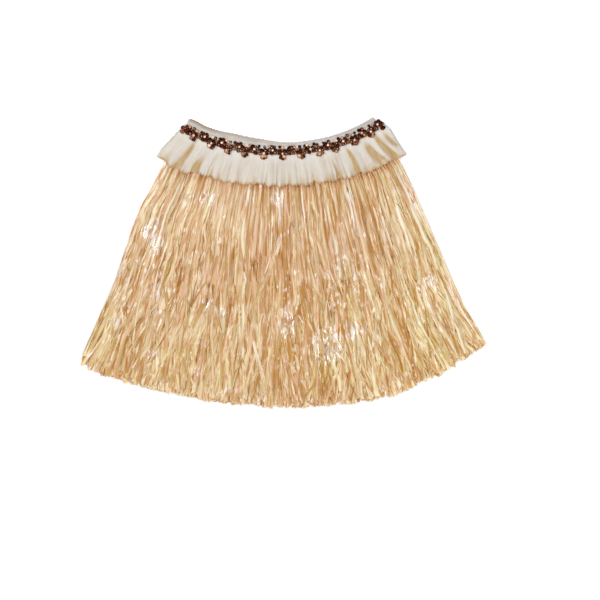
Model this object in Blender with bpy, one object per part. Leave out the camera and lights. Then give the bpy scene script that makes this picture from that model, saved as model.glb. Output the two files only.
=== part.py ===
"""Grass skirt laid flat: a gathered waistband, a fringe of raffia on a tape for the front and one
for the back, a gathered cloth flounce over both, and a beaded trim along the top.

The pieces spread in a fan. So each place is given by its angle from the skirt's middle line, its
distance from the fan's point, where the straight sides would meet, and its height over the floor.
+X is to the right of the front, +Y is towards the waist and +Z is up. Sizes are in metres, and
the short tables hold millimetres and degrees, as their names say.
"""

import math

import bpy
import numpy as np

MM = 0.001
SEED = 11

# Driving dimensions
WAIST_RADIUS = 0.447  # from the fan's point to the top edge of the waistband, on the middle line
WAIST_RISE = 0.010  # the waist's ends lie this much nearer to the fan's point than its middle
WAIST_HALF_ANGLE = math.radians(21.0)
BAND_HEIGHT = 0.026
BAND_WALL = 0.0016
BAND_GATHERS = 30
BAND_TOP = 0.0116  # the height of its front over the floor
BAND_UNDERSIDE = 0.0064
BAND_FOLD = 0.003
TAPE_TOP = 0.007  # the tape's upper and lower edges, below the top edge of the waistband
TAPE_FOOT = 0.019
FLOUNCE_WALL = 0.0013
FLOUNCE_PLEATS = 22
FLOUNCE_BACK_WAVES = 11
FLOUNCE_BACK_WAVE = 0.0006
FLOUNCE_SCALLOP = 0.003  # its free edge is this much shorter between two pleats
TRIM_WALL = 0.0018
TRIM_TOP = 0.003
TRIM_FOOT = 0.019  # lower edge between two drops
TRIM_DROP = 0.006  # the drops hang this much lower
TRIM_DROPS = 16
TRIM_ROWS = 7
TRIM_VALLEY = 0.0196  # the height of the braid between two beads
TRIM_FOLD = 0.007
TRIM_HALF_ANGLE_DEG = (21.9, 22.4)  # at its upper and at its lower edge
BEAD_PITCH = 0.0090
BEAD_RISE = 0.0046
FRONT_LOCKS = 100
BACK_LOCKS = 70
LOCK_FILLS = (0.72, 0.9)  # the least and the most of its room that a lock's width takes
LOCK_TIP_WIDTH = 0.45  # shares of the lock's own width and thickness
LOCK_RIDGE_WIDTH = 0.45
LOCK_TIP_THINNER = 0.4
LOCK_LEAN = 0.15
SWAY = 0.005  # the grass waves this much sideways at the hem, and none nearer than SWAY_FROM
SWAY_FROM = 0.52
SWAY_OVER = 0.37
SWELL = 0.0016
SWELL_FROM = 0.53
SWELL_OVER = 0.15

# The hem's outline: how far it is from the fan's point at each angle.
HEM_ANGLE_DEG = (-23.4, -21.5, -10.0, 0.0, 10.0, 16.0, 23.4)
HEM_RADIUS_MM = (880, 893, 892, 897, 897, 887, 863)
HEM_RAGGED = 0.014  # a lock ends at most this much short of the outline

# The back of the band stands this much higher than its front at each share of the half angle.
BACK_SHOWS_SHARE = (-1.0, -0.8, -0.5, -0.2, 0.1, 1.0)
BACK_SHOWS_MM = (0.0, 3.5, 5.5, 3.5, 0.0, 0.0)

# The waistband, row by row from its top edge.
BAND_ROWS = {
    "below_mm": (0, 5, 26),
    "ripple_mm": (0.6, 0.3, 0.0),
}

# How far the grass spreads to each side, at each distance from the fan's point.
SPREAD_RADIUS_MM = (466, 484, 526, 570, 740)
SPREAD_HALF_ANGLE_DEG = (21.2, 22.1, 22.95, 23.2, 23.4)

# Heights over the floor, (underside, top), of the four rows of locks at each distance.
ROW_RADIUS_MM = (466, 484, 526, 570, 900)
ROW_HEIGHTS_MM = {
    "back_lower": ((4.0, 5.0), (3.4, 4.7), (2.4, 4.4), (0.0, 3.8), (0.0, 3.0)),
    "back_upper": ((5.0, 6.0), (5.0, 6.8), (4.8, 7.2), (4.2, 8.0), (3.4, 6.8)),
    "front_lower": ((12.0, 13.0), (11.4, 13.2), (10.2, 13.0), (8.8, 12.6), (7.4, 11.0)),
    "front_upper": ((13.0, 14.0), (13.6, 15.2), (13.4, 15.8), (13.0, 17.0), (11.4, 15.2)),
}
FRONT_STATIONS_MM = (484, 526, 570, 650, 740, 820)  # where a lock's cross-sections are
BACK_STATIONS_MM = (484, 526, 570, 720)

# The flounce, row by row from its gathered edge to its free edge.
FLOUNCE_ROWS = {
    "radius_mm": (453, 473, 487, 503, 520),
    "rise_mm": (10, 8, 7, 6, 6),  # how much nearer the fan's point its ends are
    "half_angle_deg": (21.6, 22.3, 23.1, 23.5, 23.8),
    "inside_front_mm": (14.4, 14.9, 15.6, 16.0, 16.3),
    "outside_back_mm": (2.2, 2.1, 0.3, 0.0, 0.0),
    "pleat_mm": (0.6, 1.2, 3.6, 5.6, 7.2),
    "fold_mm": (4.0, 4.5, 5.0, 5.0, 5.0),
}
PLEAT_SHAPE = (0.0, 0.72, 1.0, 0.72, 0.0)  # height across one pleat, from trough to trough
BACK_WAVE_SHAPE = (0.0, 1.0, 0.7)


def at(angle, radius, height):
    """Points of the fan as an array of x, y and z."""
    angle, radius, height = np.broadcast_arrays(angle, radius, height)
    return np.stack([radius * np.sin(angle), -radius * np.cos(angle), height], axis=-1)


def waist_rise(share, rise=WAIST_RISE):
    """How far the waist's curve rises at a share of its half angle, from 0 to 1 or -1."""
    return rise * abs(share) ** 3


def principled(name, colour, roughness):
    """A plain Principled material."""
    material = bpy.data.materials.new(name)
    material.use_nodes = True
    shader = material.node_tree.nodes["Principled BSDF"]
    shader.inputs["Base Color"].default_value = (*colour, 1.0)
    shader.inputs["Roughness"].default_value = roughness
    shader.inputs["Metallic"].default_value = 0.0
    return material


def new_object(name, points, faces, material):
    """A mesh object from points and faces that already point outwards."""
    mesh = bpy.data.meshes.new(name)
    mesh.from_pydata([tuple(p) for p in points], [], faces)
    mesh.materials.append(material)
    made = bpy.data.objects.new(name, mesh)
    bpy.context.collection.objects.link(made)
    return made


def strip_of_quads(upper, lower):
    """Faces between two closed rows of point numbers, as seen with the upper row above."""
    return [
        (upper[i - 1], lower[i - 1], lower[i], upper[i]) for i in range(len(upper))
    ]


def closed_wall(name, outside, inside, material):
    """A wall between two closed surfaces, each an array of rows of points that run the same way
    round, with the first and last rows joined along both edges."""
    columns = outside.shape[1]
    outer = np.arange(outside.shape[0] * columns).reshape(-1, columns).tolist()
    inner = (
        np.arange(inside.shape[0] * columns).reshape(-1, columns) + outside.shape[0] * columns
    ).tolist()
    faces = []
    for upper, lower in zip(outer, outer[1:]):
        faces += strip_of_quads(upper, lower)
    for upper, lower in zip(inner, inner[1:]):
        faces += strip_of_quads(lower, upper)
    faces += strip_of_quads(inner[0], outer[0])
    faces += strip_of_quads(outer[-1], inner[-1])
    points = np.concatenate([outside.reshape(-1, 3), inside.reshape(-1, 3)])
    return new_object(name, points, faces, material)


def round_the_tube(front, back, half_angle, fold, wall=0.0, fold_points=3):
    """One row of points round a flattened tube: along its front from left to right, round the
    right fold, along the back from right to left and round the left fold.

    front and back hold the share of the half angle, the radius and the height of their points.
    fold is how far a fold bulges, and wall moves the row inwards by a cloth's thickness.
    """
    share_f, radius_f, height_f = front
    share_b, radius_b, height_b = back
    height_f = height_f - wall
    height_b = height_b + wall
    turn = np.linspace(0, math.pi, fold_points + 2)[1:-1]
    rows = [at(share_f * half_angle, radius_f, height_f)]
    for side, f, b in ((1, -1, -1), (-1, 0, 0)):
        middle = (height_f[f] + height_b[b]) / 2
        reach = (height_f[f] - height_b[b]) / 2
        blend = (1 - np.cos(turn)) / 2
        radius = radius_f[f] * (1 - blend) + radius_b[b] * blend
        angle = side * (half_angle + (fold - wall) * np.sin(turn) / radius)
        bend = at(angle, radius, middle + reach * np.cos(turn))
        if side > 0:
            rows += [bend, at(share_b * half_angle, radius_b, height_b)[::-1]]
        else:
            rows.append(bend[::-1])
    return np.concatenate(rows)


def make_waistband(material):
    """The gathered casing: its top edge ripples, and its foot is smooth under the tape."""
    share_f = np.linspace(-1, 1, 2 * BAND_GATHERS + 1)
    share_b = np.linspace(-1, 1, BAND_GATHERS + 1)
    ripple_f = np.cos(math.pi * np.arange(len(share_f))) * (1 - share_f**8)
    ripple_b = np.cos(math.pi * np.arange(len(share_b))) * (1 - share_b**8)
    outside, inside = [], []
    back_shows = np.interp(share_b, BACK_SHOWS_SHARE, BACK_SHOWS_MM) * MM
    for below, ripple in zip(*BAND_ROWS.values()):
        below, ripple = below * MM, ripple * MM
        radius_f = WAIST_RADIUS + below - waist_rise(share_f) + ripple * ripple_f
        shows = back_shows * (1 - below / BAND_HEIGHT)
        radius_b = WAIST_RADIUS + below - waist_rise(share_b) - shows + ripple * ripple_b
        front = (share_f, radius_f, BAND_TOP + ripple * (ripple_f - 1))
        back = (share_b, radius_b, BAND_UNDERSIDE + ripple * (1 - ripple_b) / 2)
        outside.append(round_the_tube(front, back, WAIST_HALF_ANGLE, BAND_FOLD))
        inside.append(round_the_tube(front, back, WAIST_HALF_ANGLE, BAND_FOLD, BAND_WALL))
    return closed_wall("waistband", np.array(outside), np.array(inside), material)


def spread_shares(count, points_each, uneven, rng):
    """Places from -1 to 1 for a run of pleats, each with the same number of points, and with
    widths that differ from pleat to pleat."""
    widths = rng.uniform(1 - uneven, 1 + uneven, count)
    edges = np.concatenate([[0.0], np.cumsum(widths)]) / widths.sum() * 2 - 1
    steps = np.arange(points_each) / points_each
    shares = (edges[:-1, None] + steps * np.diff(edges)[:, None]).ravel()
    return np.append(shares, 1.0)


def make_flounce(material):
    """The gathered ruffle: its pleats start shallow at the gathers and deepen to its free edge."""
    rng = np.random.default_rng(SEED)
    share_f = spread_shares(FLOUNCE_PLEATS, len(PLEAT_SHAPE), 0.3, rng)
    share_b = spread_shares(FLOUNCE_BACK_WAVES, len(BACK_WAVE_SHAPE), 0.2, rng)
    depth = np.repeat(rng.uniform(0.65, 1.0, FLOUNCE_PLEATS), len(PLEAT_SHAPE))
    pleat = np.append(np.tile(PLEAT_SHAPE, FLOUNCE_PLEATS) * depth, 0.0)
    wave = np.append(np.tile(BACK_WAVE_SHAPE, FLOUNCE_BACK_WAVES), 0.0)
    rows = [dict(zip(FLOUNCE_ROWS, values)) for values in zip(*FLOUNCE_ROWS.values())]
    outside, inside = [], []
    for row in rows:
        deep = row["pleat_mm"] * MM
        free = deep / (FLOUNCE_ROWS["pleat_mm"][-1] * MM)  # 0 at the gathers, 1 at the edge
        radius = row["radius_mm"] * MM
        scallop = FLOUNCE_SCALLOP * free**2 * (1 - pleat)
        radius_f = radius - waist_rise(share_f, row["rise_mm"] * MM) - scallop
        radius_b = radius - waist_rise(share_b, row["rise_mm"] * MM)
        height_f = row["inside_front_mm"] * MM + FLOUNCE_WALL + deep * pleat
        height_b = row["outside_back_mm"] * MM + FLOUNCE_BACK_WAVE * free * wave
        front = (share_f, radius_f, height_f)
        back = (share_b, radius_b, height_b)
        angle = math.radians(row["half_angle_deg"])
        fold = row["fold_mm"] * MM
        outside.append(round_the_tube(front, back, angle, fold))
        inside.append(round_the_tube(front, back, angle, fold, FLOUNCE_WALL))
    return closed_wall("flounce", np.array(outside), np.array(inside), material)


def make_bead_trim(material):
    """The beaded braid: beads stand up in staggered rows at the front, in drops along its lower
    edge, over a plain inner side. The back is plain, because the skirt lies on it."""
    beads = round(2 * WAIST_HALF_ANGLE * WAIST_RADIUS / BEAD_PITCH)
    share_f = np.linspace(-1, 1, 2 * beads + 1)
    share_b = np.linspace(-1, 1, TRIM_DROPS + 1)
    drop = TRIM_DROP * np.cos(math.pi * TRIM_DROPS * share_f / 2) ** 2
    column = np.arange(len(share_f))
    outside, inside = [], []
    for row in range(TRIM_ROWS):
        share = row / (TRIM_ROWS - 1)
        below = TRIM_TOP + (TRIM_FOOT + drop - TRIM_TOP) * share
        radius_f = WAIST_RADIUS + below - waist_rise(share_f)
        radius_b = WAIST_RADIUS + TRIM_TOP + (TRIM_FOOT - TRIM_TOP) * share - waist_rise(share_b)
        raised = (row % 2 == 1) & (column % 2 == (row // 2) % 2) & (abs(share_f) < 1)
        front = (share_f, radius_f, TRIM_VALLEY + BEAD_RISE * raised)
        back = (share_b, radius_b, np.zeros(len(share_b)))
        angle = math.radians(np.interp(share, (0, 1), TRIM_HALF_ANGLE_DEG))
        outside.append(round_the_tube(front, back, angle, TRIM_FOLD))
        if row in (0, TRIM_ROWS - 1):
            inside.append(round_the_tube(front, back, angle, TRIM_FOLD, TRIM_WALL))
    return closed_wall("bead_trim", np.array(outside), np.array(inside), material)


def row_heights(row, radius):
    """Underside and top of one row of locks at these distances from the fan's point."""
    stations = np.array(ROW_RADIUS_MM) * MM
    heights = np.array(ROW_HEIGHTS_MM[row]) * MM
    return np.interp(radius, stations, heights[:, 0]), np.interp(radius, stations, heights[:, 1])


def grass_half_angle(radius):
    """Half of the angle that the grass fills at this distance from the fan's point."""
    return np.interp(radius, np.array(SPREAD_RADIUS_MM) * MM, np.radians(SPREAD_HALF_ANGLE_DEG))


def sway(angle, radius):
    """Sideways wave of the grass: it grows towards the hem, and turns so slowly from lock to
    lock that neighbours stay apart."""
    grow = np.clip((radius - SWAY_FROM) / SWAY_OVER, 0, 1) ** 1.5
    return SWAY * grow * np.sin(34 * radius + 8 * angle) * np.cos(2.5 * angle)


def swell(angle, radius):
    """Upward wave of the front grass, beyond the flounce."""
    grow = np.clip((radius - SWELL_FROM) / SWELL_OVER, 0, 1)
    return SWELL * grow * (1 + np.sin(16 * radius + 11 * angle + 2 * np.sin(5 * angle)))


def lock_rings(column, columns, row, stations, wavy, rng):
    """Cross-sections of one lock from its first station to its tip, each with four corners:
    lower left, lower right, upper right and upper left."""
    share = (2 * column + 1) / columns - 1
    end_angle = share * math.radians(SPREAD_HALF_ANGLE_DEG[-1])
    hem = np.interp(end_angle, np.radians(HEM_ANGLE_DEG), np.array(HEM_RADIUS_MM) * MM)
    radius = np.append(stations, hem - HEM_RAGGED * rng.uniform(0, 1))
    spread = grass_half_angle(radius)
    angle = share * spread
    pitch = 4 * spread * radius / columns  # two columns for each lock of a row
    width = pitch * rng.uniform(*LOCK_FILLS)
    width[-1] *= LOCK_TIP_WIDTH
    underside, top = row_heights(row, radius)
    top[-1] -= LOCK_TIP_THINNER * (top[-1] - underside[-1])
    if wavy:
        lift = swell(angle, radius)
        underside, top = underside + lift, top + lift
    middle = angle + sway(angle, radius) / radius
    lean = rng.uniform(-LOCK_LEAN, LOCK_LEAN)  # the ridge of a lock isn't over its middle
    half = width / 2 / radius
    corners = (
        (-1.0, underside),
        (1.0, underside),
        (lean + LOCK_RIDGE_WIDTH, top),
        (lean - LOCK_RIDGE_WIDTH, top),
    )
    return np.stack([at(middle + side * half, radius, z) for side, z in corners], axis=1)


def make_fringe(name, rows, locks, stations_mm, wavy, seed, material):
    """A tape with locks of raffia fused to its lower edge, by turns in a lower and an upper row.

    The tape's lower edge is a grid two faces high with a column for each lock. A lock grows ring
    by ring from its face of the grid, and so stays apart from its neighbours.
    """
    rng = np.random.default_rng(seed)
    share = np.linspace(-1, 1, locks + 1)
    angle = share * math.radians(SPREAD_HALF_ANGLE_DEG[0])
    head = WAIST_RADIUS + TAPE_TOP - waist_rise(share)
    foot = WAIST_RADIUS + TAPE_FOOT - waist_rise(share)
    low, middle = ROW_HEIGHTS_MM[rows[0]][0]
    high = ROW_HEIGHTS_MM[rows[1]][0][1]
    edges = [
        at(angle, head, low * MM),
        at(angle, head, high * MM),
        at(angle, foot, low * MM),
        at(angle, foot, middle * MM),
        at(angle, foot, high * MM),
    ]
    number = np.arange(5 * (locks + 1)).reshape(5, -1).tolist()
    head_low, head_high, foot_low, foot_middle, foot_high = number
    levels = (foot_low, foot_middle, foot_high)
    points = list(np.concatenate(edges))
    faces = [
        (head_low[0], foot_low[0], foot_middle[0], foot_high[0], head_high[0]),
        (head_high[-1], foot_high[-1], foot_middle[-1], foot_low[-1], head_low[-1]),
    ]
    stations = np.array(stations_mm) * MM
    for i in range(locks):
        faces.append((head_low[i], head_low[i + 1], foot_low[i + 1], foot_low[i]))
        faces.append((head_high[i + 1], head_high[i], foot_high[i], foot_high[i + 1]))
        faces.append((head_low[i + 1], head_low[i], head_high[i], head_high[i + 1]))
        rooted = i % 2
        for level in (0, 1):
            below, above = levels[level], levels[level + 1]
            ring = (below[i], below[i + 1], above[i + 1], above[i])
            if level != rooted:
                faces.append(ring)
                continue
            for corners in lock_rings(i, locks, rows[rooted], stations, wavy, rng):
                last, ring = ring, tuple(range(len(points), len(points) + 4))
                points.extend(corners)
                faces += [(last[k - 1], last[k], ring[k], ring[k - 1]) for k in range(4)]
            faces.append(ring)
    return new_object(name, points, faces, material)


def centre_on_origin(objects):
    """Puts the middle of the skirt's box over the origin."""
    points = np.array([v.co for made in objects for v in made.data.vertices])
    middle = (points.min(0) + points.max(0)) / 2
    for made in objects:
        made.location = (-middle[0], -middle[1], 0.0)


def main():
    for old in list(bpy.data.objects):
        bpy.data.objects.remove(old)
    cream = principled("cream_cloth", (0.76, 0.70, 0.62), 0.85)
    raffia = principled("straw_raffia", (0.72, 0.52, 0.29), 0.5)
    brown = principled("brown_beads", (0.06, 0.028, 0.018), 0.15)
    band_cloth = principled("band_cloth", (0.66, 0.60, 0.53), 0.9)
    front_rows = ("front_lower", "front_upper")
    back_rows = ("back_lower", "back_upper")
    objects = [
        make_waistband(band_cloth),
        make_flounce(cream),
        make_bead_trim(brown),
        make_fringe("front_grass", front_rows, FRONT_LOCKS, FRONT_STATIONS_MM, True, 3, raffia),
        make_fringe("back_grass", back_rows, BACK_LOCKS, BACK_STATIONS_MM, False, 5, raffia),
    ]
    centre_on_origin(objects)


main()
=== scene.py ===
"""Grass skirt laid flat: raffia strips, a gathered flounce, a waistband and a beaded trim.

Everything lies in a fan. A place is given by its angle from the skirt's middle line, its distance
from the fan's point, where the straight sides would meet, and its height over the floor, in metres.
"""

import math

import bpy
import numpy as np
from mathutils import Matrix, Vector


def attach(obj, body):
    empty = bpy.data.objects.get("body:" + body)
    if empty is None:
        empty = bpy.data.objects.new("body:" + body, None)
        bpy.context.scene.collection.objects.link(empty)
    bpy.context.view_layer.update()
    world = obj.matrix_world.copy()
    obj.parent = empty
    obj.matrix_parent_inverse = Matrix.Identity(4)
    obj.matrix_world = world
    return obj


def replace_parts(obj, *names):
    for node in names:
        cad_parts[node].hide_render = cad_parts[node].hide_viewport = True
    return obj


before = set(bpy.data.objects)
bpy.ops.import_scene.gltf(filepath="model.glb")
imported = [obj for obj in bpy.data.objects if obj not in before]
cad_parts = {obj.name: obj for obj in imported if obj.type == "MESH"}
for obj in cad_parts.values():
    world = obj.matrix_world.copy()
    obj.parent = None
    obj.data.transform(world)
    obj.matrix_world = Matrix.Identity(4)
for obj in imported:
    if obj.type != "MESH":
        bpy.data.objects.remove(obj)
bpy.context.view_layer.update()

MM = 0.001

# The fan, as the solids have it. Left is the negative side.
FAN_POINT = (0.0024, 0.6508)
WAIST_RADIUS = 0.447
WAIST_RISE = 0.010
WAIST_HALF_ANGLE = math.radians(21.0)
WIDEST_HALF_ANGLE = math.radians(23.6)
SEWN_RADIUS = 0.455  # about where the tapes and the golden cords run
BEADS_RADIUS = 0.46  # about where the middle of the bead trim runs
SPREAD_RADIUS_MM = (466, 484, 526, 572, 600, 624, 690, 740, 800, 870)
LEFT_HALF_ANGLE_DEG = (21.2, 22.1, 22.95, 23.3, 23.8, 23.6, 23.15, 22.9, 23.05, 23.1)
RIGHT_HALF_ANGLE_DEG = (21.2, 22.1, 23.0, 23.15, 23.1, 23.1, 23.1, 23.05, 23.1, 23.7)
HEM_ANGLE_DEG = (-23.4, -21.5, -14.0, -10.0, -5.0, 0.0, 6.0, 10.0, 12.0, 16.0, 23.4)
HEM_RADIUS_MM = (884, 894.5, 890.5, 891.5, 895, 896.5, 896.5, 899.5, 897, 888.5, 863.5)
TAPE_TOP = 0.007
TAPE_FOOT = 0.019
LOWEST = 0.0002  # no film lies lower over the floor than this
# The underside and the top of each fringe, at these distances from the fan's point
GRASS_RADIUS_MM = (455, 466, 484, 526, 570, 900)
BACK_HEIGHTS_MM = ((4.0, 4.0, 3.4, 2.4, 0.8, 0.6), (6.0, 6.0, 6.8, 7.2, 8.0, 6.8))
FRONT_HEIGHTS_MM = ((12.0, 12.0, 11.4, 10.2, 8.8, 6.8), (14.0, 14.0, 15.2, 15.8, 18.0, 16.6))


# ---------------------------------------------------------------- shader arithmetic


class Wire:
    """A shader socket that takes arithmetic: an expression on wires adds its Math nodes."""

    def __init__(self, finish, socket):
        self.finish, self.socket = finish, socket

    def _maths(self, operation, *values):
        return self.finish.node("Math", {"operation": operation}, dict(enumerate(values)))

    def __add__(self, other):
        return self._maths("ADD", self, other)

    def __sub__(self, other):
        return self._maths("SUBTRACT", self, other)

    def __rsub__(self, other):
        return self._maths("SUBTRACT", other, self)

    def __mul__(self, other):
        return self._maths("MULTIPLY", self, other)

    __radd__ = __add__
    __rmul__ = __mul__

    def clamped(self):
        return self.finish.node("Clamp", {}, {"Value": self})

    def past(self, level, slope):
        """How far this is past a level, times a slope, held between 0 and 1. With a negative slope
        it is how far it falls short of the level."""
        return ((self - level) * slope).clamped()


class Finish:
    """One material while it is made, with its output node."""

    def __init__(self, name):
        self.material = bpy.data.materials.new(name)
        self.material.use_nodes = True
        self.tree = self.material.node_tree
        self.tree.nodes.clear()

    def node(self, kind, settings, values, out=0):
        """Adds one node: its settings first, then the values or links of its sockets."""
        made = self.tree.nodes.new("ShaderNode" + kind)
        for key, value in settings.items():
            if key == "stops":
                ramp = made.color_ramp
                while len(ramp.elements) < len(value):
                    ramp.elements.new(0.5)
                for element, (place, colour) in zip(ramp.elements, value):
                    element.position = place
                    element.color = (*colour, 1.0)
            else:
                setattr(made, key, value)
        for key, value in values.items():
            if isinstance(value, Wire):
                self.tree.links.new(value.socket, made.inputs[key])
            else:
                made.inputs[key].default_value = value
        return Wire(self, made.outputs[out])

    def part(self, whole, number):
        """One part of a vector or of a colour."""
        return self.node("SeparateXYZ", {}, {0: whole}, out=number)

    def fact(self, name, number=None):
        """A mesh attribute, or one part of it."""
        whole = self.node("Attribute", {"attribute_name": name}, {}, out="Vector")
        return whole if number is None else self.part(whole, number)

    def vector(self, x, y, z):
        return self.node("CombineXYZ", {}, {0: x, 1: y, 2: z})

    def noise(self, where, scale, detail=2.0, rough=0.5):
        values = {"Vector": where, "Scale": scale, "Detail": detail, "Roughness": rough}
        return self.node("TexNoise", {}, values, out=0)

    def cells(self, where):
        """A colour drawn at random for each cell of a Voronoi pattern."""
        return self.node("TexVoronoi", {}, {"Vector": where, "Scale": 1.0}, out="Color")

    def vector_maths(self, operation, a, b):
        return self.node("VectorMath", {"operation": operation}, {0: a, 1: b})

    def ramp(self, value, stops):
        return self.node("ValToRGB", {"stops": stops}, {0: value})

    def mix(self, share, a, b, blend="MIX"):
        settings = {"data_type": "RGBA", "blend_type": blend}
        return self.node("Mix", settings, {0: share, 6: a, 7: b}, out=2)

    def bump(self, height, strength, distance):
        values = {"Height": height, "Strength": strength, "Distance": distance}
        return self.node("Bump", {}, values)

    def place(self):
        """Object coordinates, in metres."""
        return self.node("TexCoord", {}, {}, out="Object")

    def surface(self, base, roughness, normal, **more):
        """A Principled shader. An underscore in a further name stands for a space."""
        values = {"Base Color": base, "Roughness": roughness, "Normal": normal}
        values.update({key.replace("_", " "): value for key, value in more.items()})
        return self.node("BsdfPrincipled", {}, values)

    def mixed(self, share, a, b):
        return self.node("MixShader", {}, {0: share, 1: a, 2: b})

    def lit_through(self, normal, colours, shares):
        """Light from behind in the first of these colours, turned into each next one by its
        share. A share may vary over the surface, and the colours themselves may not."""
        values = [{"Color": colour(*rgb), "Normal": normal} for rgb in colours]
        through, *later = (self.node("BsdfTranslucent", {}, value) for value in values)
        for share, shader in zip(shares, later):
            through = self.mixed(share, through, shader)
        return through

    def done(self, shader):
        output = self.tree.nodes.new("ShaderNodeOutputMaterial")
        self.tree.links.new(shader.socket, output.inputs["Surface"])
        return self.material


def grey(value):
    return (value, value, value)


def colour(*rgb):
    return (*rgb, 1.0)


# ---------------------------------------------------------------- materials


class Strip:
    """What a place on a strip of film knows, as wires. Attribute strip holds (the strip's shade,
    metres along, metres across), film holds (place across from -1 to 1, its stretch's tone, how near
    the tip it is), and wear holds (how crumpled it is, how much of the flounce's painted shadow lies
    on it, 0)."""

    def __init__(self, f):
        self.f = f
        self.shade, self.along, self.across = (f.fact("strip", i) for i in range(3))
        self.side, self.tone, self.tip = (f.fact("film", i) for i in range(3))
        self.crumpled, self.flounce_painted_shadow = f.fact("wear", 0), f.fact("wear", 1)
        self.place = f.place()
        self.own = self.shade * 913.0  # each strip has its own slice of a pattern

    def spot(self, along, across, apart=0.0):
        """A place in a pattern with so many features to a metre, apart from other patterns."""
        return self.f.vector(self.own, self.along * along, self.across * across + apart)

    def grain(self, along, across, apart=0.0, detail=2.0, rough=0.5):
        """Noise drawn out along the strip."""
        return self.f.noise(self.spot(along, across, apart), 1.0, detail, rough)


def straw_colour(f, strip):
    """Straw from orange to cream, by the strip's shade, its stretch's tone and a slow noise. It
    turns pinker or yellower along each strip, and bluer or yellower from place to place."""
    slow, hue = strip.grain(9.0, 300.0), strip.grain(12.0, 200.0, 40.0)
    straw = f.ramp(
        (strip.shade + (slow - 0.5) * 0.7 + (strip.tone - 0.5) * 0.3).clamped(),
        (
            (0.00, (0.58, 0.29, 0.060)),
            (0.22, (0.65, 0.44, 0.19)),
            (0.45, (0.725, 0.565, 0.325)),
            (0.66, (0.77, 0.67, 0.475)),
            (0.84, (0.81, 0.75, 0.63)),
            (1.00, (0.83, 0.80, 0.75)),
        ),
    )
    own_tint = f.mix(hue.past(0.375, 4.0), colour(1.0, 0.975, 1.05), colour(1.0, 0.98, 0.75))
    varied = f.mix(0.9, straw, own_tint, "MULTIPLY")
    region = f.noise(strip.place, 6.0, 1.0).past(0.375, 4.0)
    region_tint = f.mix(region, colour(0.987, 1.01, 1.06), colour(0.987, 1.01, 0.835))
    return f.mix(0.9, varied, region_tint, "MULTIPLY")


def painted_glints(f, strip, streak, glinting, cell):
    """Where painted white glints lie on the film: the cells that are turned up in crumpled places and
    in small flecks, short bends, which are more frequent lower down, and, in the most crumpled places,
    patches over several strips, which the streaks break up."""
    fleck = f.noise(strip.place, 38.0).past(0.60, 10.0) * (0.2 + strip.along.past(0.2, 5.0) * 0.6)
    crumpled = glinting.past(0.3, 2.0) * strip.crumpled
    turned_up = (crumpled + fleck).clamped() * f.part(cell, 0).past(0.6, 12.0)
    bend = f.part(f.cells(f.vector(strip.own + 5.0, strip.along * 150.0, strip.across * 260.0)), 0)
    often = strip.along.past(0.16, 8.0) * 0.010 + f.noise(strip.place, 11.0).past(0.50, 5.0) * 0.060
    bends = (bend + often).past(0.982, 30.0) * 0.75
    patch = f.part(f.cells(f.vector_maths("MULTIPLY", strip.place, (190.0, 95.0, 8.0))), 0)
    patches = patch.past(0.76, 8.0) * strip.crumpled.past(0.25, 3.0) * streak.past(0.56, -9.0)
    return ((turned_up + bends).clamped() + patches).clamped()


def creased_normal(f, crease, fibre, glinting, cell):
    """The normal of creased film, in which each small cell tilts its own way, most where the film
    glints."""
    creased = f.bump(crease * 0.8 + fibre * 0.2, 0.3, 0.0008)
    own_way = f.vector_maths("SUBTRACT", cell, grey(0.5))
    amount = {0: own_way, "Scale": 0.03 + glinting * 0.55}
    tilt = f.node("VectorMath", {"operation": "SCALE"}, amount)
    tilted = f.vector_maths("ADD", creased, tilt)
    return f.node("VectorMath", {"operation": "NORMALIZE"}, {0: tilted})


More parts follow.
